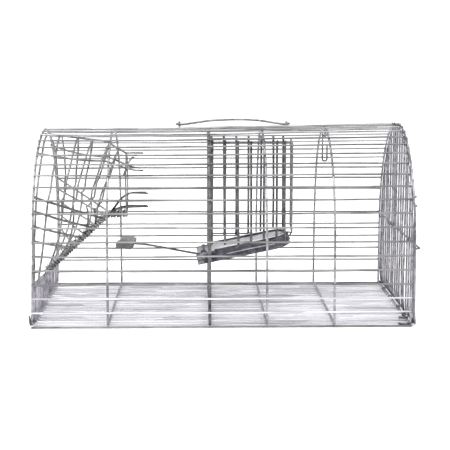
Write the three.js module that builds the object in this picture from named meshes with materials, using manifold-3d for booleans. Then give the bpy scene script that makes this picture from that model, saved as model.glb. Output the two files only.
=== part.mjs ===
// A live multi-catch trap cage of galvanised wire, in millimetres, +Z up, +X towards the rear door.
// The origin is on the ground, under the middle of the cage's outer box.
import * as THREE from "three";
import { mergeVertices } from "three/addons/utils/BufferGeometryUtils.js";
import Module from "manifold-3d";

const wasm = await Module();
wasm.setup();

// Driving dimensions of the D-shaped body.
const LENGTH = 409.4;
const WIDTH = 240;
const WALL_HEIGHT = 80;
const ROOF_RISE = 125;
const WIRE = 2;
const RIB_WIRE = 2.5;
const WELD_SINK = 0.4;
const GAP = 0.3;
const RIB_PLACES = [-203, -125.6, -18, 42, 113.5, 194.6];
const ARCH_WIRES = 37;
const FLOOR_SPACES = 19;

// Entrance funnel and sill.
const ENTRANCE_X = -203;
const SILL_TOP = 38;
const THROAT = { x: -138, z: 143, halfWidth: 25, halfHeight: 38 };
const MOUTH = { x: -115, z: 140, halfWidth: 19.5, halfHeight: 34 };
const THROAT_SHARE = 0.72;
const PRONG_LENGTH = 24;

// Partition and chute.
const PARTITION_X = -18;
const BAR_PITCH = 14.4;
const CHUTE = { halfWidth: 34, bottom: 70, top: 188, start: -14.5, end: 72, wire: 2.4 };
const CHUTE_END = { bottom: 88, skew: 3, lastUpright: 66 };

// Tipping tray: its pivot, its tilt at rest and its sheet.
const PIVOT = { x: -24, z: 60.5, radius: 1.5, halfLength: 38 };
const TRAY = { length: 107, halfWidth: 29, sheet: 0.8, flange: 12, tilt: 11.5, lift: 2.8, ear: 8, nose: 22 };
const COUNTERWEIGHT = { x: -112.2, z: 71.6, size: [23, 21, 13], crimp: 5 };

// Rear door, its clip bar and their eyes.
const DOOR = { x: 198.8, wire: 2.4, hingeZ: 3.2, pitch: 15, eyeY: 105 };
const CLIP = { x: 201.9, z: 84, wire: 2, reach: 125, hook: 15, guideY: 60 };

// Carry handle and bait hook.
const HANDLE = { left: -47.5, right: 67, y: 7.5, z: 206.6, rise: 30, lean: 10.5, wire: 2.4 };
const BAIT = { x: 113.5, z: 195.5, bottom: 165, spread: 1.8, wire: 1.5 };

const ZINC = new THREE.MeshStandardMaterial({ color: 0xb9bcc0, roughness: 0.42, metalness: 0.85 });
const DARK_ZINC = new THREE.MeshStandardMaterial({ color: 0x85888c, roughness: 0.5, metalness: 0.85 });
const SHEET = new THREE.MeshStandardMaterial({ color: 0x9b9ea2, roughness: 0.45, metalness: 0.8 });

const rad = THREE.MathUtils.degToRad;
const vec = (x, y, z) => new THREE.Vector3(x, y, z);

// ---- joining -------------------------------------------------------------------------------

function solid(geometry) {
  const bare = geometry.index ? geometry.toNonIndexed() : geometry.clone();
  bare.deleteAttribute("normal");
  bare.deleteAttribute("uv");
  const merged = mergeVertices(bare, 1e-4);
  return new wasm.Manifold(
    new wasm.Mesh({
      numProp: 3,
      vertProperties: merged.attributes.position.array,
      triVerts: new Uint32Array(merged.index.array),
    }),
  );
}

function joined(geometries) {
  let whole = solid(geometries[0]);
  for (const piece of geometries.slice(1)) whole = whole.add(solid(piece));
  return whole;
}

function geometryOf(manifold) {
  const mesh = manifold.getMesh();
  const geometry = new THREE.BufferGeometry();
  geometry.setAttribute("position", new THREE.BufferAttribute(mesh.vertProperties, 3));
  geometry.setIndex(new THREE.BufferAttribute(mesh.triVerts, 1));
  geometry.computeVertexNormals();
  return geometry;
}

const cage = new THREE.Group();

function addNode(name, geometries, material = ZINC) {
  const mesh = new THREE.Mesh(geometryOf(joined(geometries)), material);
  mesh.name = name;
  cage.add(mesh);
}

// ---- wire shapes ---------------------------------------------------------------------------

// A square bar from a to b, run past both ends by half its thickness. Its faces face along `up`.
function bar(a, b, wire = WIRE, up = vec(0, 0, 1)) {
  const along = b.clone().sub(a);
  const length = along.length() + wire;
  along.normalize();
  const side = Math.abs(along.dot(up)) > 0.99 ? vec(0, 1, 0) : up.clone().cross(along).normalize();
  const over = along.clone().cross(side).normalize();
  const geometry = new THREE.BoxGeometry(length, wire, wire);
  const middle = a.clone().add(b).multiplyScalar(0.5);
  return geometry.applyMatrix4(new THREE.Matrix4().makeBasis(along, side, over).setPosition(middle));
}

function bars(points, wire = WIRE, up = vec(0, 0, 1)) {
  return points.slice(1).map((point, i) => bar(points[i], point, wire, up));
}

// An outline in the YZ plane, with an optional hole, made `thick` wide about x.
function plateAcross(outline, x, thick, hole) {
  const shape = new THREE.Shape(outline);
  if (hole) shape.holes.push(new THREE.Path(hole));
  const geometry = new THREE.ExtrudeGeometry(shape, { depth: thick, bevelEnabled: false });
  const basis = new THREE.Matrix4().makeBasis(vec(0, 1, 0), vec(0, 0, 1), vec(1, 0, 0));
  return geometry.applyMatrix4(basis.setPosition(x - thick / 2, 0, 0));
}

// An eight-sided ring round an axis along "x" or "y", centred at `place`.
function eye(place, inner, outer, thick, axis) {
  const corner = (radius, i) => {
    const angle = rad(22.5 + 45 * i);
    return new THREE.Vector2(radius * Math.cos(angle), radius * Math.sin(angle));
  };
  const count = [0, 1, 2, 3, 4, 5, 6, 7];
  const shape = new THREE.Shape(count.map((i) => corner(outer, i)));
  if (inner > 0) shape.holes.push(new THREE.Path(count.map((i) => corner(inner, i))));
  const geometry = new THREE.ExtrudeGeometry(shape, { depth: thick, bevelEnabled: false });
  geometry.translate(0, 0, -thick / 2);
  if (axis === "y") geometry.rotateX(Math.PI / 2);
  if (axis === "x") geometry.rotateY(Math.PI / 2);
  return geometry.translate(place.x, place.y, place.z);
}

// ---- D profile -----------------------------------------------------------------------------

const QUARTER_STEPS = 400;

// Arc length of the half ellipse from the near spring line, sampled finely once.
const ARCH = (() => {
  const samples = [{ angle: Math.PI, length: 0 }];
  const at = (angle) => vec(0, (WIDTH / 2) * Math.cos(angle), ROOF_RISE * Math.sin(angle));
  for (let i = 1; i <= 2 * QUARTER_STEPS; i++) {
    const angle = Math.PI * (1 - i / (2 * QUARTER_STEPS));
    const last = samples[i - 1];
    samples.push({ angle, length: last.length + at(angle).distanceTo(at(last.angle)) });
  }
  return samples;
})();
const ARCH_LENGTH = ARCH[ARCH.length - 1].length;
const STRAIGHT = WALL_HEIGHT - WIRE / 2;
const PROFILE_LENGTH = ARCH_LENGTH + 2 * STRAIGHT;
const ARCH_PITCH = PROFILE_LENGTH / (ARCH_WIRES - 1);

// The point at distance s along the arch wires' centre line, moved out by `offset`, with its normal.
function profile(s, offset = 0) {
  if (s <= STRAIGHT) {
    return { y: -WIDTH / 2 - offset, z: WIRE / 2 + s, ny: -1, nz: 0 };
  }
  if (s >= PROFILE_LENGTH - STRAIGHT) {
    return { y: WIDTH / 2 + offset, z: WIRE / 2 + PROFILE_LENGTH - s, ny: 1, nz: 0 };
  }
  const sample = ARCH.find((entry) => entry.length >= s - STRAIGHT);
  const ny = Math.cos(sample.angle) / (WIDTH / 2);
  const nz = Math.sin(sample.angle) / ROOF_RISE;
  const size = Math.hypot(ny, nz);
  return {
    y: (WIDTH / 2) * Math.cos(sample.angle) + (offset * ny) / size,
    z: WALL_HEIGHT + ROOF_RISE * Math.sin(sample.angle) + (offset * nz) / size,
    ny: ny / size,
    nz: nz / size,
  };
}

// Stations along the profile from s0 to s1, about one wire pitch apart.
function stations(s0, s1) {
  const corners = [STRAIGHT, PROFILE_LENGTH - STRAIGHT].filter((s) => s > s0 && s < s1);
  const ends = [s0, ...corners, s1];
  return ends.slice(1).flatMap((end, i) => {
    const start = ends[i];
    const straight = end <= STRAIGHT || start >= PROFILE_LENGTH - STRAIGHT;
    const count = straight ? 1 : Math.ceil((end - start) / (1.3 * ARCH_PITCH));
    return Array.from({ length: count }, (_, k) => start + ((end - start) * k) / count);
  }).concat([s1]);
}

// A strip that follows the profile from s0 to s1 between two offsets, `thick` wide about x.
function strip(s0, s1, inner, outer, x, thick) {
  const run = stations(s0, s1);
  const point = (s, offset) => {
    const at = profile(s, offset);
    return new THREE.Vector2(at.y, at.z);
  };
  const outline = run.map((s) => point(s, outer));
  outline.push(...run.slice().reverse().map((s) => point(s, inner)));
  return plateAcross(outline, x, thick);
}

const RIB_OUTER = -(WIRE / 2 - WELD_SINK);
const RIB_INNER = RIB_OUTER - RIB_WIRE;

// ---- mesh body -----------------------------------------------------------------------------

function archPanel(name, first, last) {
  const s0 = first === 0 ? 0 : (first - 0.5) * ARCH_PITCH + GAP / 2;
  const s1 = last === ARCH_WIRES - 1 ? PROFILE_LENGTH : (last + 0.5) * ARCH_PITCH - GAP / 2;
  const pieces = RIB_PLACES.map((x) => strip(s0, s1, RIB_INNER, RIB_OUTER, x, RIB_WIRE));
  for (let i = first; i <= last; i++) {
    const at = profile(i * ARCH_PITCH);
    const start = vec((WIRE - LENGTH) / 2, at.y, at.z);
    const end = vec(RIB_PLACES[5] + RIB_WIRE / 4, at.y, at.z);
    pieces.push(bar(start, end, WIRE, vec(0, at.ny, at.nz)));
  }
  addNode(name, pieces);
}

function floorPanel() {
  const rest = WIRE / 2;
  const reach = WIDTH / 2 + RIB_INNER - GAP - RIB_WIRE / 2;
  const ribZ = WIRE - WELD_SINK + RIB_WIRE / 2;
  const pieces = RIB_PLACES.map((x) => bar(vec(x, -reach, ribZ), vec(x, reach, ribZ), RIB_WIRE));
  for (let j = 1; j < FLOOR_SPACES; j++) {
    const y = WIDTH * (j / FLOOR_SPACES - 0.5);
    const start = vec((WIRE - LENGTH) / 2, y, rest);
    pieces.push(bar(start, vec(RIB_PLACES[5] + RIB_WIRE / 4, y, rest)));
  }
  addNode("floor_mesh", pieces);
}

floorPanel();
archPanel("near_side_mesh", 0, 5);
archPanel("near_lower_shoulder_mesh", 6, 10);
archPanel("near_upper_shoulder_mesh", 11, 15);
archPanel("roof_mesh", 16, 20);
archPanel("far_upper_shoulder_mesh", 21, 25);
archPanel("far_lower_shoulder_mesh", 26, 30);
archPanel("far_side_mesh", 31, 36);

// ---- entrance ------------------------------------------------------------------------------

const FLOOR_TOP = WIRE - WELD_SINK + RIB_WIRE;
const INNER_WIRE = RIB_INNER - GAP - WIRE / 2;

function entranceSill() {
  const reach = WIDTH / 2 + INNER_WIRE - WIRE / 2 - GAP;
  const low = FLOOR_TOP + GAP + WIRE / 2;
  const high = SILL_TOP - WIRE / 2;
  const rail = (z) => bar(vec(ENTRANCE_X, -reach, z), vec(ENTRANCE_X, reach, z));
  const pieces = [rail(low), rail(high)];
  const count = Math.floor((2 * reach) / BAR_PITCH);
  for (let i = 0; i <= count; i++) {
    const y = -reach + (2 * reach * i) / count;
    pieces.push(bar(vec(ENTRANCE_X, y, low), vec(ENTRANCE_X, y, high)));
  }
  addNode("entrance_sill", pieces);
}

// Half of the funnel's rim runs from the top of the arch (t = 0) down the wall and along the sill to
// the seam (t = 1). The sheet narrows to an oval throat, then runs on to the mouth's smaller oval.
const RIM_INSET = INNER_WIRE - 1.2;
const RIM_BOTTOM = SILL_TOP + 3;
const RIM_ARC = PROFILE_LENGTH / 2 - RIM_BOTTOM;
const RIM_HALF = RIM_ARC + WIDTH / 2;

function funnelPoint(t, side, along) {
  const run = Math.abs(t) * RIM_HALF;
  const rim = vec(ENTRANCE_X, 0, RIM_BOTTOM);
  if (run < RIM_ARC) {
    const at = profile(PROFILE_LENGTH / 2 - run, RIM_INSET);
    rim.set(ENTRANCE_X, at.y, at.z);
  } else {
    rim.y = -(WIDTH / 2 + RIM_INSET) * (1 - (run - RIM_ARC) / (RIM_HALF - RIM_ARC));
  }
  const turn = Math.PI * Math.abs(t);
  const oval = (ring) =>
    vec(ring.x, -ring.halfWidth * Math.sin(turn), ring.z + ring.halfHeight * Math.cos(turn));
  const throat = oval(THROAT);
  const point =
    along < THROAT_SHARE
      ? rim.lerp(throat, along / THROAT_SHARE)
      : throat.lerp(oval(MOUTH), (along - THROAT_SHARE) / (1 - THROAT_SHARE));
  point.y *= side;
  return point;
}

// A lattice of wires between t0 and t1, with prongs past the mouth. side is 1 near and -1 far.
function funnelPanel(name, stops, side) {
  const rings = [0, THROAT_SHARE / 2, THROAT_SHARE, 1];
  const at = (t, along) => funnelPoint(t, t < 0 ? -side : side, along);
  const pieces = stops.flatMap((t) => bars([at(t, 0), at(t, THROAT_SHARE), at(t, 1)]));
  for (const ring of rings) pieces.push(...bars(stops.map((t) => at(t, ring))));
  const middle = stops[Math.floor(stops.length / 2)];
  const root = at(middle, 1);
  const tip = root.clone().add(vec(PRONG_LENGTH, 0, 0));
  tip.y *= 0.85;
  pieces.push(bar(root, tip));
  addNode(name, pieces);
}

function funnelSeamLacing() {
  const drop = vec(2.4, 0, -2.4);
  const start = vec(ENTRANCE_X + 4, 0, RIM_BOTTOM).add(drop);
  const end = vec(THROAT.x - 2, 0, THROAT.z - THROAT.halfHeight - 2).add(drop);
  addNode("funnel_seam_lacing", [bar(start, end)], DARK_ZINC);
}

entranceSill();
funnelPanel("funnel_top_panel", [-0.18, 0, 0.18], 1);
for (const [word, side] of [["near", 1], ["far", -1]]) {
  funnelPanel(`funnel_${word}_shoulder_panel`, [0.225, 0.32, 0.42], side);
  funnelPanel(`funnel_${word}_side_panel`, [0.465, 0.55, 0.64], side);
  funnelPanel(`funnel_${word}_ramp_panel`, [0.685, 0.82, 0.965], side);
}
funnelSeamLacing();

// ---- partition and chute -------------------------------------------------------------------

// The height of the D profile's inside at y, for wires that end just under the ribs.
function insideTop(y, inset) {
  const half = WIDTH / 2 + inset;
  return WALL_HEIGHT + (ROOF_RISE + inset) * Math.sqrt(Math.max(0, 1 - (y / half) ** 2));
}

function partitionSide(name, side) {
  const inner = CHUTE.halfWidth;
  const low = FLOOR_TOP + GAP + WIRE / 2;
  const outer = WIDTH / 2 + RIM_INSET;
  const end = PROFILE_LENGTH * 0.5 * (1 - (inner * 1.02) / (PROFILE_LENGTH * 0.5));
  const frame = strip(low, end, RIM_INSET - WIRE / 2, RIM_INSET + WIRE / 2, PARTITION_X, WIRE);
  if (side < 0) frame.rotateZ(Math.PI).translate(2 * PARTITION_X, 0, 0);
  const pieces = [frame];
  const y = (distance) => -side * distance;
  pieces.push(bar(vec(PARTITION_X, y(inner), low), vec(PARTITION_X, y(outer), low)));
  for (let distance = inner; distance < outer - WIRE; distance += BAR_PITCH) {
    const high = insideTop(distance, RIM_INSET);
    pieces.push(bar(vec(PARTITION_X, y(distance), low), vec(PARTITION_X, y(distance), high)));
  }
  addNode(name, pieces);
}

function partitionSill() {
  const reach = CHUTE.halfWidth - 2 * WIRE - GAP;
  const low = FLOOR_TOP + GAP + WIRE / 2;
  const high = PIVOT.z - 13;
  const rail = (z) => bar(vec(PARTITION_X, -reach, z), vec(PARTITION_X, reach, z));
  const pieces = [rail(low), rail(high)];
  for (let i = -2; i <= 2; i++) {
    pieces.push(bar(vec(PARTITION_X, i * BAR_PITCH, low), vec(PARTITION_X, i * BAR_PITCH, high)));
  }
  addNode("partition_sill", pieces);
}

function chuteSide(name, y) {
  const rail = (z) => bar(vec(CHUTE.start, y, z), vec(CHUTE.end, y, z));
  const pieces = [rail(CHUTE.top), rail(CHUTE.bottom)];
  for (let i = 0; i < 7; i++) {
    const x = i < 6 ? CHUTE.start + i * BAR_PITCH : CHUTE_END.lastUpright;
    pieces.push(bar(vec(x, y, CHUTE.bottom), vec(x, y, CHUTE.top), CHUTE.wire));
  }
  addNode(name, pieces);
}

// The end wall stops above the tray's nose and stands a little askew.
function chuteEnd() {
  const reach = CHUTE.halfWidth;
  const spot = (share, z) =>
    vec(CHUTE.end + WIRE + GAP + CHUTE_END.skew * share, reach * (2 * share - 1), z);
  const rail = (z) => bar(spot(0, z), spot(1, z));
  const pieces = [rail(CHUTE.top), rail(CHUTE_END.bottom)];
  for (let i = 0; i <= 4; i++) {
    pieces.push(bar(spot(i / 4, CHUTE_END.bottom), spot(i / 4, CHUTE.top)));
  }
  addNode("chute_end_wall", pieces);
}

partitionSide("partition_near_grille", 1);
partitionSide("partition_far_grille", -1);
partitionSill();
chuteSide("chute_near_wall", -CHUTE.halfWidth);
chuteSide("chute_far_wall", CHUTE.halfWidth);
chuteEnd();

// ---- tipping tray --------------------------------------------------------------------------

// Turns a shape drawn level about the pivot to the tray's tilt at rest.
function tilted(geometry) {
  return geometry
    .translate(-PIVOT.x, 0, -PIVOT.z)
    .rotateY(-rad(TRAY.tilt))
    .translate(PIVOT.x, 0, PIVOT.z);
}

function box(low, high) {
  const size = high.clone().sub(low);
  const middle = high.clone().add(low).multiplyScalar(0.5);
  return new THREE.BoxGeometry(size.x, size.y, size.z).translate(middle.x, middle.y, middle.z);
}

// The tray's plan: square at the ears' end, round at the nose.
function trayOutline(left, right, half) {
  const shape = new THREE.Shape();
  shape.moveTo(left, -half);
  shape.lineTo(right - TRAY.nose, -half);
  shape.absellipse(right - TRAY.nose, 0, TRAY.nose, half, -Math.PI / 2, Math.PI / 2, false);
  shape.lineTo(left, half);
  return new THREE.Shape(shape.getPoints(5));
}

function flat(shape, low, high) {
  const geometry = new THREE.ExtrudeGeometry(shape, { depth: high - low, bevelEnabled: false });
  return geometry.translate(0, 0, low);
}

// A plate with its edge turned down all round but at the left, where two ears run on to the pivot.
function tippingTray() {
  const earEnd = PIVOT.x - TRAY.ear;
  const right = earEnd + TRAY.length;
  const plateStart = PARTITION_X + 1;
  const top = PIVOT.z + TRAY.lift + TRAY.sheet;
  const under = top - TRAY.flange;
  const half = TRAY.halfWidth;
  const block = flat(trayOutline(earEnd, right, half), under, top);
  const inside = trayOutline(earEnd - 5, right - TRAY.sheet, half - TRAY.sheet);
  const hollow = flat(inside, under - 1, top - TRAY.sheet);
  const gapAtEars = box(vec(earEnd - 5, TRAY.sheet - half, under - 1), vec(plateStart, half - TRAY.sheet, top + 1));
  const pin = eye(vec(PIVOT.x, 0, PIVOT.z), 0, PIVOT.radius + 2 * GAP, 2 * half + 4, "y");
  const tray = [hollow, gapAtEars, pin].reduce((whole, cut) => whole.subtract(solid(cut)), solid(block));
  const mesh = new THREE.Mesh(tilted(geometryOf(tray)), SHEET);
  mesh.name = "tray_plate";
  cage.add(mesh);
  const rod = eye(vec(PIVOT.x, 0, PIVOT.z), 0, PIVOT.radius, 2 * PIVOT.halfLength, "y");
  addNode("tray_pivot_rod", [rod]);
}

// A metal lump, crimped flat where the arm enters it.
function counterweight() {
  const [length, width, height] = COUNTERWEIGHT.size;
  const { x, z, crimp } = COUNTERWEIGHT;
  const half = vec(length / 2, width / 2, height / 2);
  const outline = new THREE.Shape([
    new THREE.Vector2(-half.x, 0.35 * half.z - half.z),
    new THREE.Vector2(half.x - crimp, -half.z),
    new THREE.Vector2(half.x, -0.4 * half.z),
    new THREE.Vector2(half.x, 0.4 * half.z),
    new THREE.Vector2(half.x - crimp, half.z),
    new THREE.Vector2(crimp - half.x, half.z),
    new THREE.Vector2(-half.x, 0.1 * half.z),
  ]);
  const lump = new THREE.ExtrudeGeometry(outline, { depth: width, bevelEnabled: false });
  lump.rotateX(Math.PI / 2).translate(x, half.y, z);
  addNode("counterweight", [lump], SHEET);
  const start = vec(x + half.x + GAP + WIRE / 2, 0, z - 1);
  const end = vec(PIVOT.x - PIVOT.radius - GAP - WIRE, 0, PIVOT.z - 1.4);
  addNode("counterweight_arm", [bar(start, end)], DARK_ZINC);
}

function pivotEye(name, side) {
  const y = side * (PIVOT.halfLength - 1.5);
  const ring = eye(vec(PIVOT.x, y, PIVOT.z), PIVOT.radius + 2 * GAP, PIVOT.radius + 2.2, WIRE, "y");
  const tabLow = vec(PIVOT.x + PIVOT.radius + 1.2, y - WIRE / 2, PIVOT.z - 1);
  const tabHigh = vec(PARTITION_X - WIRE / 2 - GAP, y + WIRE / 2, PIVOT.z + 1);
  addNode(name, [ring, box(tabLow, tabHigh)]);
}

tippingTray();
counterweight();
pivotEye("tray_near_eye", -1);
pivotEye("tray_far_eye", 1);

// ---- rear door -----------------------------------------------------------------------------

function rearDoor() {
  const half = DOOR.wire / 2;
  const start = DOOR.hingeZ - WIRE / 2;
  const pieces = [strip(start, PROFILE_LENGTH - start, -half, half, DOOR.x, DOOR.wire)];
  const reach = WIDTH / 2;
  pieces.push(bar(vec(DOOR.x, -reach, DOOR.hingeZ), vec(DOOR.x, reach, DOOR.hingeZ), DOOR.wire));
  for (let y = DOOR.pitch / 2; y < reach; y += DOOR.pitch) {
    for (const side of [-1, 1]) {
      const foot = vec(DOOR.x, side * y, DOOR.hingeZ);
      pieces.push(bar(foot, vec(DOOR.x, side * y, insideTop(y, 0))));
    }
  }
  addNode("rear_door", pieces);
}

function doorEye(name, y) {
  addNode(name, [eye(vec(DOOR.x, y, DOOR.hingeZ), 1.95, 2.8, WIRE, "y")], DARK_ZINC);
}

function clipBar() {
  const { x, z, reach, hook } = CLIP;
  const corner = (side) => vec(x, side * reach, z);
  const tip = (side) => vec(x - hook, side * reach, z);
  addNode("clip_bar", bars([tip(-1), corner(-1), corner(1), tip(1)], CLIP.wire));
}

function clipGuide(name, y) {
  addNode(name, [eye(vec(CLIP.x, y, CLIP.z), 1.85, 3, WIRE, "y")], DARK_ZINC);
}

rearDoor();
doorEye("door_near_hinge_eye", -DOOR.eyeY);
doorEye("door_far_hinge_eye", DOOR.eyeY);
clipBar();
clipGuide("clip_near_guide", -CLIP.guideY);
clipGuide("clip_far_guide", CLIP.guideY);

// ---- handle and bait hook ------------------------------------------------------------------

function carryHandle() {
  const { left, right, y, z, rise, lean, wire } = HANDLE;
  const stub = 6;
  const bow = [0, 0.28, 0.4, 0.68, 0.8, 1].map((share) => {
    const out = rise * Math.min(1, share / 0.36, (1 - share) / 0.29);
    return vec(THREE.MathUtils.lerp(left, right, share), out, 0);
  });
  const path = [vec(left - stub, 0, 0), ...bow, vec(right + stub, 0, 0)];
  const pieces = bars(path, wire);
  pieces.forEach((piece) => piece.rotateX(rad(lean)).translate(0, y, z));
  addNode("carry_handle", pieces);
}

function handleEye(name, x) {
  addNode(name, [eye(vec(x, HANDLE.y, HANDLE.z), 2.1, 3.3, WIRE, "x")], DARK_ZINC);
}

function baitHook() {
  const { x, z, bottom, spread, wire } = BAIT;
  const top = z - 2.2;
  const leg = [vec(x - spread, 0, top), vec(x - spread, 0, bottom)];
  const rest = [vec(x + spread, 0, bottom), vec(x + spread, 0, bottom + 18)];
  const pieces = bars([...leg, ...rest], wire);
  pieces.push(eye(vec(x, 0, z), 2, 3.2, WIRE, "y"));
  addNode("bait_hook", pieces);
  const rib = ROOF_RISE + WALL_HEIGHT + RIB_INNER - GAP;
  const post = (y) => bar(vec(x, y, z), vec(x, y, rib - 1.5), wire);
  addNode("bait_hook_hanger", [bar(vec(x, -6, z), vec(x, 6, z), wire), post(-6), post(6)]);
}

carryHandle();
handleEye("handle_left_eye", HANDLE.left - 3.5);
handleEye("handle_right_eye", HANDLE.right + 3.5);
baitHook();

export default cage;
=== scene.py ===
"""The looks of the half-round wire trap cage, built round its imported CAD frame. Metres, +Z up."""

import math

import bmesh
import bpy
from mathutils import Matrix, Vector, noise


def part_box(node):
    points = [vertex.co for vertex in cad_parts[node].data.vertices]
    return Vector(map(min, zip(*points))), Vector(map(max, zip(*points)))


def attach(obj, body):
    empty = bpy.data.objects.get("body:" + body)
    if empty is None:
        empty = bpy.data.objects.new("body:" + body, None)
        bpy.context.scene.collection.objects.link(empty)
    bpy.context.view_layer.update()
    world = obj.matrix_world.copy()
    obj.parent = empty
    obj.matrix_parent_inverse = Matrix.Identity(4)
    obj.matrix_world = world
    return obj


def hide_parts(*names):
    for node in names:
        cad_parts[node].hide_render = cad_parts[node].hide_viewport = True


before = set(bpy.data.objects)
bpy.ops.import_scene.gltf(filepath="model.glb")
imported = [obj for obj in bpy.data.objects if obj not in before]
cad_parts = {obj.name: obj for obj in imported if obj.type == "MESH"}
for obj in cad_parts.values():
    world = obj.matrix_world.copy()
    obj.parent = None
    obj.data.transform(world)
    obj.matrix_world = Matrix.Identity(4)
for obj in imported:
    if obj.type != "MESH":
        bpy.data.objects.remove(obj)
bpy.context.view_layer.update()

# Without a seed of its own, the vector noise that bends the wires follows the clock.
BEND_SEED = 7
noise.seed_set(BEND_SEED)

# The D-shaped body. Its length is that of the frame's own side mesh.
SIDE_LOW, SIDE_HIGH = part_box("near_side_mesh")
WIDTH = 0.240
WALL_HEIGHT = 0.080
ROOF_RISE = 0.1235
ROOF_TOP = WALL_HEIGHT + ROOF_RISE
WIRE_R = 0.0010
RIB_R = 0.00125
CENTRE_RIB_R = 1.25 * RIB_R
LEFT_END = SIDE_LOW.x + WIRE_R
RIGHT_END = SIDE_HIGH.x - WIRE_R
RIB_PLACES = [-0.203, -0.1256, -0.018, 0.042, 0.1135, 0.1946]
CENTRE_RIB = 2
END_RIB_X = RIB_PLACES[-1]
ARCH_WIRES = 37
# The wires numbered here, low on the near wall, are painted lighter as a highlight.
PAINTED_HIGHLIGHT_WIRES = (1, 2)
FLOOR_SPACES = 19
RIB_INSET = -(WIRE_R + RIB_R - 0.0004)
FLOOR_TOP = 0.0041
GRILLE_FOOT = FLOOR_TOP + 0.0013

# The roof sags along the cage, level at SAG_LEVEL and no lower past SAG_START, and leans to the near side.
SAG_SLOPE, SAG_START, SAG_LEVEL, ROOF_LEAN, SAG_POWER = 0.0185, -0.065, 0.045, 0.040, 6
SPLAY, SPLAY_LENGTH = 0.0023, 0.05

# Funnel. Throat and mouth are ovals: x, z, half width, half height. Rows count up the sheet from the sill.
ENTRANCE_X = -0.203
RIM_INSET = -0.0056
RIM_BOTTOM = 0.041
SILL_NEAR, SILL_FAR = 0.046, 0.029
THROAT = (-0.134, 0.1465, 0.025, 0.0415)
MOUTH = (-0.111, 0.140, 0.0195, 0.034)
SHEET_R = 0.00112
NEAR_SHEET_R = 1.15 * SHEET_R
SHEET_ROWS = 14.4
KNEE_ROW, LAST_SEAM_ROW = 6.1, 7.35
LOW_ROWS = [1.05 * k for k in range(1, 7)]
LOW_ROW_TWIST = 0.7
HIGH_ROW, HIGH_ROW_CLIMB = 10.3, 1.9
LOOPS = [0.04, 0.18, 0.335, 0.465, 0.62, 0.72]
TOP_LOOP, TOP_LOOP_ROW = 0.86, 11.5
LEAN_FROM, LEAN_BELOW, LEAN_ABOVE = 0.14, (6.8, 0.27), (9, 0.065)
PRONG_LENGTH = 0.021
FAN_RISES, FAN_SPREAD, FAN_STEPS = (0.0205, 0.006), 0.012, (0.010, 0.020, 0.040)

# The seam: its core, and the coil radius, wire radius and pitch of its two strands and its binding.
SEAM_CORE_R = 0.0024
SEAM_STRANDS = (0.0030, 0.0014, 0.013)
SEAM_BINDING = (0.0044, 0.0007, 0.0034)

# Partition, chute, tray.
PARTITION_X = -0.018
BAR_PITCH = 0.0144
CHUTE_HALF, CHUTE_LOW, CHUTE_HIGH = 0.034, 0.077, 0.188
CHUTE_START, CHUTE_END, CHUTE_LAST = -0.0145, 0.072, 0.066
CHUTE_R = 0.0013
CHUTE_END_FOOT = 0.088
PIVOT = Vector((-0.024, 0, 0.0605))
TRAY_TILT = math.radians(11.5)
TRAY_LENGTH, TRAY_HALF, TRAY_SHEET, TRAY_FLANGE = 0.107, 0.029, 0.0008, 0.012
TRAY_LIFT, TRAY_EAR, TRAY_NOSE = 0.0028, 0.008, 0.022
LIP_HEIGHT, LIP_INSET, LIP_SHEET, LIP_ROOT = 0.0020, 0.0022, 0.0008, 0.0004
FLAT_INSET, FLAT_DROP = 0.0028, 0.00025
FLANGE_LAP, BEAD_Z, BEAD_HIGH, BEAD_DEEP = 0.0042, 0.0072, 0.0012, 0.0010
TRAY_EYE_Y = 0.0365
WEIGHT_X, WEIGHT_Z, WEIGHT_HALF_WIDTH = -0.1122, 0.0716, 0.0105

# Door and its clip bar.
DOOR_X, DOOR_JOG, HINGE_Z, DOOR_PITCH = 0.1975, 0.0013, 0.0032, 0.015
CLIP_X, CLIP_Z, CLIP_REACH, CLIP_HOOK = 0.2019, 0.084, 0.1228, 0.005
HINGE_Y, GUIDE_Y = 0.105, 0.060

# Handle and bait hook.
HANDLE_LEFT, HANDLE_RIGHT, HANDLE_RISE = -0.0475, 0.067, 0.030
HANDLE_Y, HANDLE_Z = 0.0075, 0.2062
HANDLE_LEAN = math.radians(6.3)
HANDLE_TAIL, HANDLE_CURL_R = 0.0055, 0.0021
BAIT_X, BAIT_Z, BAIT_BOTTOM = 0.1135, 0.1955, 0.165

# The view and the light of the photo.
CAMERA_PLACE, CAMERA_LENS = (-0.0298, -1.3789, 0.2928), 97.68
CAMERA_TURN = (math.radians(90 - 8.29), 0, math.radians(-1.257))
SKY_FACING = Vector((-0.25, -0.25, 0.93)).normalized()

ALONG, ACROSS, UP = Vector((1, 0, 0)), Vector((0, 1, 0)), Vector((0, 0, 1))


def mix(a, b, share):
    return a + (b - a) * share


# ---- tubes ---------------------------------------------------------------------------------


def bowed(points, amount, seed, wavelength=0.09):
    """The points with the slow, slight bends that drawn wire keeps."""
    shift = Vector((seed * 3.71, seed * 1.37, seed * 2.11))
    return [p + noise.noise_vector(p / wavelength + shift) * amount for p in points]


def straight(a, b, step=0.006):
    count = max(1, round((b - a).length / step))
    return [a.lerp(b, i / count) for i in range(count + 1)]


def rounded(corners, radius, steps=5):
    """The corners' path with each inner corner turned in a curve of about that radius."""
    points = [corners[0]]
    for before, corner, after in zip(corners, corners[1:], corners[2:]):
        back, on = before - corner, after - corner
        cut = min(radius, back.length * 0.45, on.length * 0.45)
        start, end = corner + back.normalized() * cut, corner + on.normalized() * cut
        for i in range(steps + 1):
            share = i / steps
            points.append(start.lerp(corner, share).lerp(corner.lerp(end, share), share))
    return points + [corners[-1]]


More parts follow.
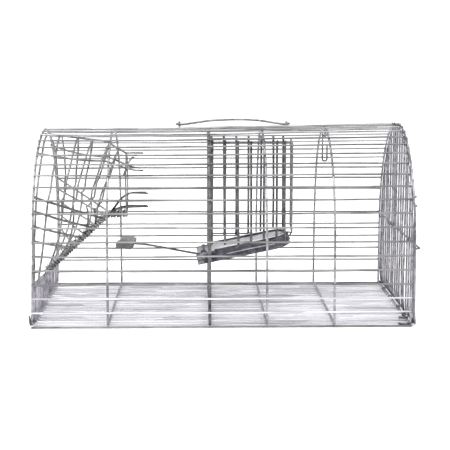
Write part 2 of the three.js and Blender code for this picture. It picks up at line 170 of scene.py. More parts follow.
def circle(centre, radius, normal, turns=1.0, steps=16, rise=0.0, start=0.0):
    """Points round a circle; with a rise they climb along the normal, as a coil does."""
    side = normal.orthogonal().normalized()
    other = normal.cross(side).normalized()
    points = []
    count = max(3, round(steps * turns))
    for i in range(count + 1):
        angle = start + 2 * math.pi * turns * i / count
        spot = centre + side * (radius * math.cos(angle)) + other * (radius * math.sin(angle))
        points.append(spot + normal * (rise * i / count))
    return points


def place_piece(mesh, body, nodes, material, turn=None):
    """Puts a finished mesh in the scene, on its body and in place of its CAD nodes."""
    if turn:
        mesh.transform(turn)
    mesh.materials.append(material)
    obj = bpy.data.objects.new(mesh.name, mesh)
    bpy.context.scene.collection.objects.link(obj)
    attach(obj, body)
    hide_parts(*nodes)


class Wirework:
    """Closed round tubes and weld nuggets, gathered into one piece."""

    def __init__(self):
        self.verts = []
        self.faces = []

    def tube(self, points, radius, sides=8, closed=False, lumps=0.07):
        base = len(self.verts)
        count = len(points)
        side = None
        for i, point in enumerate(points):
            before = points[i - 1] if (i or closed) else point
            after = points[(i + 1) % count] if (i + 1 < count or closed) else point
            tangent = (after - before).normalized()
            side = tangent.orthogonal() if side is None else side - tangent * side.dot(tangent)
            side.normalize()
            other = tangent.cross(side)
            size = radius * (1 + lumps * noise.noise(point / 0.007))
            for k in range(sides):
                angle = 2 * math.pi * k / sides
                flat = side * (size * math.cos(angle)) + other * (size * math.sin(angle))
                self.verts.append(point + flat)
        rings = count if closed else count - 1
        for i in range(rings):
            here, there = base + i * sides, base + ((i + 1) % count) * sides
            for k in range(sides):
                n = (k + 1) % sides
                self.faces.append((here + k, here + n, there + n, there + k))
        if not closed:
            self.cap(points[0], points[0] - points[1], radius, base, sides, True)
            last = base + (count - 1) * sides
            self.cap(points[-1], points[-1] - points[-2], radius, last, sides, False)

    def cap(self, point, outward, radius, ring, sides, first):
        tip = len(self.verts)
        self.verts.append(point + outward.normalized() * (radius * 0.35))
        for k in range(sides):
            n = (k + 1) % sides
            self.faces.append((ring + n, ring + k, tip) if first else (ring + k, ring + n, tip))

    def weld(self, place, size, normal=UP):
        """A low nugget of melted zinc where two wires cross."""
        side = normal.orthogonal().normalized()
        other = normal.cross(side).normalized()
        base = len(self.verts)
        rings, around = 3, 7
        height = size * 0.72
        for i in range(1, rings + 1):
            lift = math.pi * i / (rings + 1)
            wide, high = size * math.sin(lift), height * math.cos(lift)
            for k in range(around):
                angle = 2 * math.pi * (k + 0.5 * i) / around
                flat = side * math.cos(angle) + other * math.sin(angle)
                self.verts.append(place + flat * wide + normal * high)
        top, bottom = len(self.verts), len(self.verts) + 1
        self.verts += [place + normal * height, place - normal * height]
        for k in range(around):
            n = (k + 1) % around
            self.faces.append((base + n, top, base + k))
            low = base + (rings - 1) * around
            self.faces.append((low + k, bottom, low + n))
            for i in range(rings - 1):
                a, b = base + i * around, base + (i + 1) * around
                self.faces.append((a + k, b + k, b + n, a + n))

    def piece(self, name, body, nodes, material, slot, turn=None):
        mesh = bpy.data.meshes.new(name)
        mesh.from_pydata([tuple(v) for v in self.verts], [], self.faces)
        mesh.validate()
        mesh.polygons.foreach_set("use_smooth", [True] * len(mesh.polygons))
        place_piece(mesh, body, nodes, material, turn)


# ---- materials -----------------------------------------------------------------------------


def galvanised(name, light, dark, rough=(0.30, 0.55), grain=900, metal=0.85, along=1.0):
    """Zinc-coated steel: cloudy spangle, dull patches and fine grain. A small along draws them out in X."""
    material = bpy.data.materials.new(name)
    material.use_nodes = True
    nodes, links = material.node_tree.nodes, material.node_tree.links
    shader = nodes["Principled BSDF"]
    drawn = nodes.new("ShaderNodeMapping")
    drawn.inputs["Scale"].default_value = (along, 1, 1)
    links.new(nodes.new("ShaderNodeTexCoord").outputs["Object"], drawn.inputs["Vector"])
    place = drawn.outputs["Vector"]

    def noise_at(scale, detail, roughness=0.5):
        node = nodes.new("ShaderNodeTexNoise")
        node.inputs["Scale"].default_value = scale
        node.inputs["Detail"].default_value = detail
        node.inputs["Roughness"].default_value = roughness
        links.new(place, node.inputs["Vector"])
        return node.outputs["Fac"]

    spangle_share = 0.35
    spangle = nodes.new("ShaderNodeTexVoronoi")
    spangle.inputs["Scale"].default_value = 260
    links.new(place, spangle.inputs["Vector"])
    ramp = nodes.new("ShaderNodeValToRGB")
    ramp.color_ramp.elements[0].position, ramp.color_ramp.elements[1].position = 0.30, 0.72
    ramp.color_ramp.elements[0].color = (*dark, 1)
    ramp.color_ramp.elements[1].color = (*light, 1)
    blend = nodes.new("ShaderNodeMath")
    blend.operation = "MULTIPLY_ADD"
    links.new(spangle.outputs["Color"], blend.inputs[0])
    blend.inputs[1].default_value = spangle_share
    links.new(noise_at(55, 4, 0.6), blend.inputs[2])
    shift = nodes.new("ShaderNodeMath")
    shift.operation = "SUBTRACT"
    links.new(blend.outputs[0], shift.inputs[0])
    shift.inputs[1].default_value = spangle_share / 2 - 0.005
    links.new(shift.outputs[0], ramp.inputs["Fac"])
    links.new(ramp.outputs["Color"], shader.inputs["Base Color"])
    dull = nodes.new("ShaderNodeMapRange")
    dull.inputs["To Min"].default_value, dull.inputs["To Max"].default_value = rough
    links.new(noise_at(140, 3), dull.inputs["Value"])
    links.new(dull.outputs["Result"], shader.inputs["Roughness"])
    relief = nodes.new("ShaderNodeBump")
    relief.inputs["Strength"].default_value = 0.25
    relief.inputs["Distance"].default_value = 0.0002
    links.new(noise_at(grain, 3, 0.65), relief.inputs["Height"])
    links.new(relief.outputs["Normal"], shader.inputs["Normal"])
    shader.inputs["Metallic"].default_value = metal
    return material


SMOOTH = (0.20, 0.42)
BODY_ZINC = galvanised("body_zinc", (0.29, 0.29, 0.295), (0.09, 0.09, 0.092), SMOOTH, along=0.15)
# A lighter copy of the body zinc: painted highlight on the wires at the top of the arch.
ROOF_ZINC_PAINTED_HIGHLIGHT = galvanised("roof_zinc_painted_highlight", (0.46, 0.46, 0.47), (0.17, 0.17, 0.175), SMOOTH, along=0.15)
WIRE_ZINC = galvanised("wire_zinc", (0.38, 0.38, 0.40), (0.13, 0.13, 0.14), SMOOTH)
# A much lighter copy of the wire zinc: painted highlight and painted reflection of the pale floor.
PAINTED_HIGHLIGHT_ZINC = galvanised("painted_highlight_zinc", (0.80, 0.79, 0.84), (0.36, 0.35, 0.39), SMOOTH, along=0.08)
DOOR_ZINC = galvanised("door_zinc", (0.30, 0.29, 0.32), (0.10, 0.095, 0.11), SMOOTH)
FUNNEL_ZINC = galvanised("funnel_zinc", (0.28, 0.28, 0.285), (0.09, 0.09, 0.092), SMOOTH)
SEAM_WIRE = galvanised("seam_wire", (0.40, 0.40, 0.40), (0.12, 0.12, 0.12))
SILL_ZINC = galvanised("sill_zinc", (0.46, 0.44, 0.49), (0.18, 0.17, 0.20), SMOOTH)
DARK_WIRE = galvanised("dark_wire", (0.15, 0.15, 0.155), (0.04, 0.04, 0.042), SMOOTH)
# The counterweight's sheet in two painted tones: this one lighter as lit from above, the next darker as
# shade.
WEIGHT_PAINTED_LIGHT = galvanised("weight_sheet_painted_light", (0.26, 0.26, 0.27), (0.13, 0.13, 0.14), grain=500, metal=0.4)
WEIGHT_PAINTED_SHADE = galvanised("weight_flap_painted_shade", (0.14, 0.14, 0.14), (0.06, 0.06, 0.06), grain=500, metal=0.4)
# The tray's sheet in two painted tones; this lighter one is a painted highlight on its top and lit faces.
TRAY_PAINTED_HIGHLIGHT = galvanised("tray_sheet", (0.55, 0.55, 0.58), (0.30, 0.30, 0.32), grain=500, metal=0.35)
# The darker tone of the tray's sheet: painted shade on its bent edge.
TRAY_PAINTED_SHADE = galvanised("tray_side_painted_shade", (0.15, 0.145, 0.17), (0.05, 0.048, 0.06), grain=500)

# ---- the D profile -------------------------------------------------------------------------

STEPS = 720
STRAIGHT = WALL_HEIGHT - WIRE_R


def arch_table():
    table, length = [(math.pi, 0.0)], 0.0
    last = Vector((-WIDTH / 2, 0))
    for i in range(1, STEPS + 1):
        angle = math.pi * (1 - i / STEPS)
        spot = Vector((WIDTH / 2 * math.cos(angle), ROOF_RISE * math.sin(angle)))
        length += (spot - last).length
        last = spot
        table.append((angle, length))
    return table


ARCH = arch_table()
PROFILE = ARCH[-1][1] + 2 * STRAIGHT
ARCH_PITCH = PROFILE / (ARCH_WIRES - 1)


def settled(x, y, z):
    """The height of a roof point: a little lower at the entrance than at the door, and on the near side."""
    shift = SAG_SLOPE * (max(x, SAG_START) - SAG_LEVEL) + ROOF_LEAN * y
    return z + shift * (z / ROOF_TOP) ** SAG_POWER


def profile(s, offset=0.0, x=0.0):
    """A point on the arch wires' centre line at distance s from the near bottom corner."""
    if s <= STRAIGHT:
        return Vector((x, -WIDTH / 2 - offset, WIRE_R + s))
    if s >= PROFILE - STRAIGHT:
        return Vector((x, WIDTH / 2 + offset, WIRE_R + PROFILE - s))
    low, high = 0, STEPS
    while high - low > 1:
        middle = (low + high) // 2
        if ARCH[middle][1] < s - STRAIGHT:
            low = middle
        else:
            high = middle
    (a0, l0), (a1, l1) = ARCH[low], ARCH[high]
    angle = mix(a0, a1, (s - STRAIGHT - l0) / (l1 - l0))
    normal = Vector((math.cos(angle) / (WIDTH / 2), math.sin(angle) / ROOF_RISE)).normalized()
    y = WIDTH / 2 * math.cos(angle) + offset * normal.x
    z = WALL_HEIGHT + ROOF_RISE * math.sin(angle) + offset * normal.y
    return Vector((x, y, settled(x, y, z)))


def splayed(points):
    """The entrance end of the cage is splayed out a little at its foot."""
    moved = []
    for p in points:
        foot = max(0.0, 1 - p.z / WALL_HEIGHT)
        end = min(1.0, max(0.0, (ENTRANCE_X + SPLAY_LENGTH - p.x) / SPLAY_LENGTH))
        moved.append(Vector((p.x - SPLAY * foot * end, p.y, max(p.z, WIRE_R))))
    return moved


def inside_top(x, y, inset):
    """The height of the roof over a place, measured to a line inset from the arch wires."""
    half = WIDTH / 2 + inset
    return settled(x, y, WALL_HEIGHT + (ROOF_RISE + inset) * math.sqrt(max(0.0, 1 - (y / half) ** 2)))


def d_ring(x, offset, bottom):
    """A closed D at x: up the near wall, over the roof, down the far wall and back along the floor."""
    corner, step = 0.006, 0.008
    start = bottom + corner - WIRE_R
    count = round((PROFILE - 2 * start) / step)
    points = [profile(mix(start, PROFILE - start, i / count), offset, x) for i in range(count + 1)]
    half = WIDTH / 2 + offset
    far = rounded([Vector((x, half, bottom + corner)), Vector((x, half, bottom)),
                   Vector((x, half - corner, bottom))], corner)
    near = [Vector((p.x, -p.y, p.z)) for p in reversed(far)]
    floor = straight(far[-1], near[0], 0.012)
    return points + far[1:] + floor[1:-1] + near[:-1]


# ---- mesh body -----------------------------------------------------------------------------

ARCH_NODES = [
    ("near_side_mesh", 0, 5),
    ("near_lower_shoulder_mesh", 6, 10),
    ("near_upper_shoulder_mesh", 11, 15),
    ("roof_mesh", 16, 20),
    ("far_upper_shoulder_mesh", 21, 25),
    ("far_lower_shoulder_mesh", 26, 30),
    ("far_side_mesh", 31, 36),
]


def body_wires():
    """The wires along the walls and roof. Two low near ones are painted lighter as a highlight, and are a
    piece of their own.
    """
    for node, first, last in ARCH_NODES:
        work, low = Wirework(), Wirework()
        for i in range(first, last + 1):
            s = i * ARCH_PITCH
            points = [profile(s, 0, mix(LEFT_END, RIGHT_END, k / 66)) for k in range(67)]
            (low if i in PAINTED_HIGHLIGHT_WIRES else work).tube(splayed(bowed(points, 0.0007, i)), WIRE_R)
            for x in RIB_PLACES:
                work.weld(profile(s, RIB_INSET / 2, x), 0.0015)
        # The roof and far upper shoulder wires are painted lighter, as a highlight from above.
        tone_choice = ROOF_ZINC_PAINTED_HIGHLIGHT if node.startswith(("roof", "far_upper")) else BODY_ZINC
        work.piece(node.replace("_mesh", "_wires"), "cage", [node], tone_choice, "galvanised_wire")
        if first == 0:
            low.piece("lowest_near_wires_painted_highlight", "cage", [], PAINTED_HIGHLIGHT_ZINC, "galvanised_wire")


def floor_wires():
    work = Wirework()
    for j in range(1, FLOOR_SPACES):
        y = WIDTH * (j / FLOOR_SPACES - 0.5)
        a, b = Vector((LEFT_END, y, WIRE_R)), Vector((RIGHT_END, y, WIRE_R))
        work.tube(splayed(bowed(straight(a, b), 0.0008, 50 + j)), WIRE_R)
        for x in RIB_PLACES:
            work.weld(Vector((x, y, 2 * WIRE_R)), 0.0014)
    # The floor wires are painted lighter than the wall wires: a painted reflection of the pale floor.
    work.piece("floor_wires", "cage", ["floor_mesh"], PAINTED_HIGHLIGHT_ZINC, "galvanised_wire")


def ribs():
    for index, x in enumerate(RIB_PLACES):
        centre = index == CENTRE_RIB
        work = Wirework()
        ring = d_ring(x, RIB_INSET, FLOOR_TOP - RIB_R)
        radius = CENTRE_RIB_R if centre else RIB_R
        work.tube(splayed(bowed(ring, 0.0006, 90 + index)), radius, 10, closed=True)
        tone_choice = (DARK_WIRE, "dark_wire") if centre else (WIRE_ZINC, "galvanised_wire")
        work.piece(f"rib_{index + 1}", "cage", [], *tone_choice)


body_wires()
floor_wires()
ribs()

# ---- entrance ------------------------------------------------------------------------------


def entrance_sill():
    """The grille under the funnel: a foot wire, a sloping head wire and short uprights."""
    work = Wirework()
    reach = WIDTH / 2 - 0.0047
    foot, head = Vector((ENTRANCE_X, -reach, GRILLE_FOOT)), Vector((ENTRANCE_X, -reach, SILL_NEAR))
    far_foot, far_head = Vector((ENTRANCE_X, reach, GRILLE_FOOT)), Vector((ENTRANCE_X, reach, SILL_FAR))
    work.tube(splayed(straight(foot, far_foot)), WIRE_R)
    work.tube(splayed(bowed(straight(head, far_head), 0.0010, 12)), WIRE_R)
    count = math.floor(3 * reach / BAR_PITCH)
    for i in range(count + 1):
        bar = straight(foot.lerp(far_foot, i / count), head.lerp(far_head, i / count))
        bar = splayed(bowed(bar, 0.0012, i + 60, 0.03))
        work.tube(bar, WIRE_R)
        work.weld(bar[-1], 0.0014, ALONG)
    work.piece("entrance_sill_grille", "cage", ["entrance_sill"], SILL_ZINC, "galvanised_wire")


def oval(ring, t):
    """A point on half of an oval ring, from its top (t = 0) to its bottom (t = 1) by the near side."""
    x, z, half_width, half_height = ring
    turn = math.pi * t
    return Vector((x, -half_width * math.sin(turn), z + half_height * math.cos(turn)))


SEAM_START = Vector((ENTRANCE_X + 0.0005, 0, RIM_BOTTOM))
SEAM_KNEE = oval(THROAT, 1)
SEAM_END = oval(MOUTH, 1)


def seam_point(row):
    """Where a row of the sheet ends on the seam under the funnel."""
    if row <= KNEE_ROW:
        return SEAM_START.lerp(SEAM_KNEE, row / KNEE_ROW)
    return SEAM_KNEE.lerp(SEAM_END, (row - KNEE_ROW) / (LAST_SEAM_ROW - KNEE_ROW))


def row_path(row):
    """Rim, throat and end of one lengthwise wire; row 0 lies along the sill, the last along the top."""
    rise = mix(RIM_BOTTOM, PROFILE / 2, row / SHEET_ROWS)
    rim = profile(rise, RIM_INSET, ENTRANCE_X)
    if row <= KNEE_ROW:
        end = seam_point(row)
        return rim, rim.lerp(end, 0.85), end
    throat = oval(THROAT, (SHEET_ROWS - row) / (SHEET_ROWS - KNEE_ROW))
    if row <= LAST_SEAM_ROW:
        return rim, throat, seam_point(row)
    return rim, throat, oval(MOUTH, (SHEET_ROWS - row) / (SHEET_ROWS - LAST_SEAM_ROW))


def sheet_point(row, share, side):
    """The point at a share of the way along a row, on the near (1) or far (-1) half of the sheet."""
    rim, throat, end = row_path(min(max(row, 0.0), SHEET_ROWS))
    first, second = (throat - rim).length, (end - throat).length
    reach = share * (first + second)
    if reach <= first:
        point = rim.lerp(throat, reach / first)
    else:
        point = throat.lerp(end, (reach - first) / max(second, 1e-6))
    return Vector((point.x, point.y * side, point.z))


def prong(work, root, spread, seed):
    """A bare wire end past the mouth, bent a little."""
    length = PRONG_LENGTH * (1 + 0.25 * noise.noise(Vector((seed * 1.7, 0.3, 0.9))))
    bend = root + Vector((length * 0.42, 0, 0)) + spread * 0.9
    tip = root + Vector((length, 0, 0)) + spread
    work.tube(bowed(rounded([root, bend, tip], 0.010), 0.0012, seed * 1.3, 0.03), WIRE_R)


def lengthwise_wires(bars, side):
    """The low rows end in the seam; the high one runs over the throat to the mouth and past it."""
    for row in LOW_ROWS:
        points = [sheet_point(row - LOW_ROW_TWIST * side * i / 16, i / 16, side) for i in range(17)]
        bars.tube(bowed(points, 0.0010, row * side, 0.05), NEAR_SHEET_R if side == 1 else SHEET_R)
    points = [sheet_point(HIGH_ROW + HIGH_ROW_CLIMB * i / 20, i / 20, side) for i in range(21)]
    bars.tube(bowed(points, 0.0010, HIGH_ROW * side, 0.05), SHEET_R)
    prong(bars, points[-1], Vector((0, 0, -0.003)), HIGH_ROW * side)


def cross_wire(bars, base, lowest, seed):
    """One wire across the sheet, from the near seam or sill over the top to the far one."""
    lean = max(0.0, base - LEAN_FROM)
    (below, low_lean), (above, high_lean) = LEAN_BELOW, LEAN_ABOVE

    def share(row):
        return base + lean * (low_lean * max(0.0, below - row) + high_lean * max(0.0, row - above))

    low = lowest
    while share(low) > 1:
        low += 0.1
    count = round((SHEET_ROWS - low) * 2.5)
    rows = [mix(low, SHEET_ROWS, i / count) for i in range(count + 1)]
    near = [sheet_point(row, share(row), 1) for row in rows]
    far = [sheet_point(row, share(row), -1) for row in reversed(rows[:-1])]
    bars.tube(bowed(near + far, 0.0012, seed, 0.05), SHEET_R)


def fan_prong(prongs, side, rise):
    """A wire that leaves the seam at the throat, fans out and up, and points into the cage."""
    root = SEAM_KNEE + Vector((0.006, 0, 0.0035))
    spread = Vector((0, -side * FAN_SPREAD, rise + side * 0.001))
    bend, straightened, tip = FAN_STEPS
    fan = [root, root + ALONG * bend + spread * 0.7, root + ALONG * straightened + spread,
           root + ALONG * (tip + side * 0.0015) + spread]
    prongs.tube(bowed(rounded(fan, 0.010), 0.0012, rise * 900 + side, 0.03), WIRE_R)


def funnel():
    """The rolled sheet of mesh that narrows to the mouth, and the bare prongs round it."""
    bars, prongs = Wirework(), Wirework()
    top = [sheet_point(SHEET_ROWS, i / 16, 1) for i in range(17)]
    bars.tube(top, SHEET_R)
    prong(bars, top[-1], Vector((0, 0, 0.0005)), 17)
    for side in (1, -1):
        lengthwise_wires(bars, side)
        for rise in FAN_RISES:
            fan_prong(prongs, side, rise)
    for n, base in enumerate(LOOPS):
        cross_wire(bars, base, 0.0, n + 20)
    cross_wire(bars, TOP_LOOP, TOP_LOOP_ROW, 31)
    prongs.weld(sheet_point(SHEET_ROWS, 0.88, 1), 0.0026)
    half = [oval(MOUTH, i / 24) for i in range(25)]
    rim = half + [Vector((p.x, -p.y, p.z)) for p in half[-2:0:-1]]
    bars.tube(rim, WIRE_R * 0.85, closed=True)
    nodes = [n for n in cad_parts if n.startswith("funnel_") and n.endswith("_panel")]
    bars.piece("funnel_sheet", "cage", nodes, FUNNEL_ZINC, "galvanised_wire")
    prongs.piece("funnel_prongs", "cage", [], DARK_WIRE, "dark_wire")


def seam_lacing():
    """The two cut edges of the sheet twisted round each other, and bound with a fine wire."""
    work = Wirework()
    for start, end in ((SEAM_START, SEAM_KNEE), (SEAM_KNEE, SEAM_END)):
        axis = (end - start).normalized()
        length = (end - start).length
        work.tube(bowed(straight(start, end), 0.0008, 3), SEAM_CORE_R)
        radius, wire, pitch = SEAM_STRANDS
        for phase in (0, math.pi):
            work.tube(circle(start, radius, axis, max(1.5, length / pitch), 9, length, phase), wire, 6)
        radius, wire, pitch = SEAM_BINDING
        work.tube(circle(start, radius, axis, max(3, length / pitch), 9, length), wire, 6)
    work.piece("funnel_seam_wrap", "cage", ["funnel_seam_lacing"], SEAM_WIRE, "dark_wire")


def corner_tie():
    """The wire ring twisted round the near bottom corner of the entrance."""
    work = Wirework()
    centre = Vector((ENTRANCE_X - 0.0045, 0.0024 - WIDTH / 2, 0.0078))
    work.tube(circle(centre, 0.0048, Vector((1, 0.25, 0.1))), 0.0009)
    work.weld(Vector((ENTRANCE_X + 0.001, 0.0008 - WIDTH / 2, 0.0075)), 0.0022)
    work.piece("corner_tie_ring", "cage", [], DARK_WIRE, "dark_wire")


entrance_sill()
corner_tie()
funnel()
seam_lacing()

# ---- partition and chute -------------------------------------------------------------------


def partition_side(word, side):
    """Uprights on one side of the chute's doorway, with a foot wire and a frame along the wall and roof."""
    work = Wirework()
    outer = WIDTH / 2 + RIM_INSET
    foot = Vector((PARTITION_X, side * CHUTE_HALF, GRILLE_FOOT))
    end = Vector((PARTITION_X, side * outer, GRILLE_FOOT))
    work.tube(straight(foot, end), WIRE_R)
    distance = CHUTE_HALF
    while distance < outer - 2 * WIRE_R:
        y = side * distance
        foot = Vector((PARTITION_X, y, GRILLE_FOOT))
        head = Vector((PARTITION_X, y, inside_top(PARTITION_X, y, RIM_INSET) + 0.001))
        radius = CHUTE_R if distance == CHUTE_HALF else WIRE_R
        work.tube(bowed(straight(foot, head), 0.0008, distance * 1000), radius)
        distance += BAR_PITCH
    doorway = PROFILE / 2 - CHUTE_HALF * 1.02
    arc = [profile(mix(GRILLE_FOOT, doorway, i / 40), RIM_INSET, PARTITION_X) for i in range(41)]
    work.tube([Vector((p.x, -side * p.y, p.z)) for p in arc], CHUTE_R)
    work.piece(f"partition_{word}_bars", "cage", [f"partition_{word}_grille"], DARK_WIRE, "dark_wire")


def partition_sill():
    """The low grille under the tray, in the chute's doorway."""
    work = Wirework()
    high = PIVOT.z - 0.013
    reach = CHUTE_HALF - 0.0043
    for z in (GRILLE_FOOT, high):
        work.tube(straight(Vector((PARTITION_X, -reach, z)), Vector((PARTITION_X, reach, z))), WIRE_R)
    for i in range(-2, 3):
        y = i * BAR_PITCH
        foot, head = Vector((PARTITION_X, y, GRILLE_FOOT)), Vector((PARTITION_X, y, high))
        work.tube(straight(foot, head), WIRE_R)
    work.piece("partition_sill_bars", "cage", ["partition_sill"], WIRE_ZINC, "galvanised_wire")


def chute_side(word, y):
    """Upright wires between two rails; each upright's top end is bent over the rail."""
    work = Wirework()
    for z in (CHUTE_LOW, CHUTE_HIGH):
        work.tube(straight(Vector((CHUTE_START, y, z)), Vector((CHUTE_END, y, z))), WIRE_R * 0.9)
    outward = 0.0028 if y > 0 else -0.0028
    places = [CHUTE_START + i * BAR_PITCH for i in range(6)] + [CHUTE_LAST + max(0.0, outward)]
    for i, x in enumerate(places):
        corners = [Vector((x, y, CHUTE_LOW - 0.002)), Vector((x, y, CHUTE_HIGH + 0.001)),
                   Vector((x, y + outward, CHUTE_HIGH + 0.0022))]
        path = rounded(corners, 0.0015)
        upright = straight(path[0], path[1])[:-1] + path[1:]
        work.tube(bowed(upright, 0.0008, i + (20 if y > 0 else 30)), CHUTE_R)
        for z in (CHUTE_LOW, CHUTE_HIGH):
            work.weld(Vector((x, y, z)), 0.0018, ACROSS)
    work.piece(f"chute_{word}_bars", "cage", [f"chute_{word}_wall"], DARK_WIRE, "dark_wire")


def chute_end():
    """The chute's end grille stops above the tray's nose and stands a little askew."""
    work = Wirework()

    def spot(share, z):
        return Vector((CHUTE_END + 0.0023 + 0.003 * share, CHUTE_HALF * (2 * share - 1), z))

    for z in (CHUTE_END_FOOT, CHUTE_HIGH):
        work.tube(straight(spot(0, z), spot(1, z)), WIRE_R)
    for i in range(5):
        foot, head = spot(i / 4, CHUTE_END_FOOT), spot(i / 4, CHUTE_HIGH)
        work.tube(bowed(straight(foot, head), 0.0004, i + 44), WIRE_R * 0.8)
        work.weld(head, 0.0014, ALONG)
    work.piece("chute_end_bars", "cage", ["chute_end_wall"], FUNNEL_ZINC, "dark_wire")


partition_side("near", -1)
partition_side("far", 1)
partition_sill()
chute_side("near", -CHUTE_HALF)
chute_side("far", CHUTE_HALF)
chute_end()

# ---- tipping tray --------------------------------------------------------------------------

TILT = Matrix.Translation(PIVOT) @ Matrix.Rotation(-TRAY_TILT, 4, "Y") @ Matrix.Translation(-PIVOT)
TRAY_TOP_Z = PIVOT.z + TRAY_LIFT + TRAY_SHEET
EAR_END = PIVOT.x - TRAY_EAR
NOSE_START = EAR_END + TRAY_LENGTH - TRAY_NOSE


def closed_piece(name, body, nodes, bm, material, turn=None):
    """Makes a piece of a closed bmesh, with its faces turned outwards."""
    bmesh.ops.recalc_face_normals(bm, faces=bm.faces)
    mesh = bpy.data.meshes.new(name)
    bm.to_mesh(mesh)
    bm.free()
    place_piece(mesh, body, nodes, material, turn)


def tray_plan():
    """The tray's outline from the near ear round the nose to the far ear, with outward directions."""
    plan = []
    for i in range(13):
        plan.append((Vector((mix(EAR_END, NOSE_START, i / 12), -TRAY_HALF, 0)), -ACROSS))
    for i in range(1, 24):
        angle = -math.pi / 2 + math.pi * i / 24
        spot = Vector((NOSE_START + TRAY_NOSE * math.cos(angle), TRAY_HALF * math.sin(angle), 0))
        out = Vector((math.cos(angle) / TRAY_NOSE, math.sin(angle) / TRAY_HALF, 0)).normalized()
        plan.append((spot, out))
    for i in range(13):
        plan.append((Vector((mix(NOSE_START, EAR_END, i / 12), TRAY_HALF, 0)), ACROSS))
    return plan


def skin(bm, rings):
    """Joins rings of corners into a closed skin, with a flat face at each end."""
    for here, there in zip(rings, rings[1:]):
        for k in range(len(here)):
            n = (k + 1) % len(here)
            bm.faces.new((here[k], there[k], there[n], here[n]))
    bm.faces.new(rings[0])
    bm.faces.new(rings[-1][::-1])


def flange_section():
    """(outward, up) points round the tray's edge: its lap, bend, bead, flange and the hem at its foot."""
    bend, hem = 0.0022, 0.0011
    section = [(-FLANGE_LAP, 0)]
    for i in range(6):
        angle = math.pi / 2 * (1 - i / 5)
        section.append((bend * (math.cos(angle) - 1), bend * (math.sin(angle) - 1)))
    for i in range(7):
        angle = math.pi * (0.5 - i / 6)
        section.append((BEAD_DEEP * math.cos(angle), BEAD_HIGH * math.sin(angle) - BEAD_Z))
    foot = hem - TRAY_FLANGE
    section.append((0, foot + 1.5 * hem))
    for i in range(9):
        angle = math.pi / 3 - math.pi * 1.5 * i / 8
        section.append((hem * (math.cos(angle) - 0.5), foot + hem * math.sin(angle)))
    section.append((-TRAY_SHEET, foot + 1.5 * hem))
    inner = bend - TRAY_SHEET
    for i in range(6):
        angle = math.pi / 2 * i / 5
        section.append((inner * math.cos(angle) - bend, inner * math.sin(angle) - bend))
    return section + [(-FLANGE_LAP, -TRAY_SHEET)]


def tray_edge():
    """The bent and hemmed edge, lightly dented."""
    bm = bmesh.new()
    rings = []
    for spot, out in tray_plan():
        ring = []
        for across, up in flange_section():
            place = spot + out * across
            dent = noise.noise(place / 0.021 + Vector((0, 0, up * 40))) * 0.00035
            ring.append(bm.verts.new(place + out * dent + UP * (TRAY_TOP_Z + up)))
        rings.append(ring)
    skin(bm, rings)
    for face in bm.faces:
        face.smooth = True
    # The bent edge is painted darker than the flat: painted shade on the sheet's sides.
    closed_piece("tray_flange", "tray", ["tray_plate"], bm, TRAY_PAINTED_SHADE, TILT)


def tray_rim():
    """A low lip stands up round the tray's sides and nose, with a rolled edge along its top. The lip is
    painted dark as the shadow line inside the rim, and the rolled edge painted light as its highlight.
    """
    plan = [(spot, out) for spot, out in tray_plan() if spot.x > PARTITION_X + 0.004]
    inside, outside = -LIP_INSET - LIP_SHEET, -LIP_INSET
    section = ((inside, -LIP_ROOT), (inside, LIP_HEIGHT), (outside, LIP_HEIGHT), (outside, -LIP_ROOT))
    bm = bmesh.new()
    rings = []
    for spot, out in plan:
        rings.append([bm.verts.new(spot + out * across + UP * (TRAY_TOP_Z + up)) for across, up in section])
    skin(bm, rings)
    # Painted shade: the lip is dark as the shadow line inside the rim.
    closed_piece("tray_lip_painted_shade", "tray", [], bm, DARK_WIRE, TILT)
    work = Wirework()
    edge = [spot - out * LIP_INSET + UP * (TRAY_TOP_Z + LIP_HEIGHT) for spot, out in plan]
    work.tube(bowed(edge, 0.0004, 8, 0.02), 0.0007)
    # Painted highlight: the rolled edge is light.
    work.piece("tray_rolled_edge_painted_highlight", "tray", [], PAINTED_HIGHLIGHT_ZINC, "galvanised_wire", TILT)


def tray_sheet():
    """The flat of the tray, a shade below its bent edges, with a shallow hammered waviness."""
    bm = bmesh.new()
    columns, rows = 40, 22
    start, end = PARTITION_X + 0.001, EAR_END + TRAY_LENGTH - FLAT_INSET
    grid = []
    for level in (0, 1):
        layer = []
        for i in range(columns + 1):
            x = mix(start, end, i / columns)
            reach = max(0.0, (x - NOSE_START) / (end - NOSE_START))
            half = (TRAY_HALF - FLAT_INSET) * math.sqrt(max(0.004, 1 - reach * reach))
            line = []
            for j in range(rows + 1):
                y = half * (2 * j / rows - 1)
                wave = noise.noise(Vector((x, y, 0)) / 0.016) * 0.0003
                z = TRAY_TOP_Z - FLAT_DROP + wave - level * TRAY_SHEET
                line.append(bm.verts.new((x, y, z)))
            layer.append(line)
        grid.append(layer)
    top, under = grid
    for i in range(columns):
        for j in range(rows):
            bm.faces.new((top[i][j], top[i + 1][j], top[i + 1][j + 1], top[i][j + 1])).smooth = True
            bm.faces.new((under[i][j], under[i][j + 1], under[i + 1][j + 1], under[i + 1][j])).smooth = True
    border = [(i, 0) for i in range(columns)] + [(columns, j) for j in range(rows)]
    border += [(i, rows) for i in range(columns, 0, -1)] + [(0, j) for j in range(rows, 0, -1)]
    for (i, j), (k, m) in zip(border, border[1:] + border[:1]):
        bm.faces.new((top[i][j], under[i][j], under[k][m], top[k][m]))
    # The flat is painted lighter than the bent edge: a painted highlight on the sheet's top.
    closed_piece("tray_top", "tray", [], bm, TRAY_PAINTED_HIGHLIGHT, TILT)


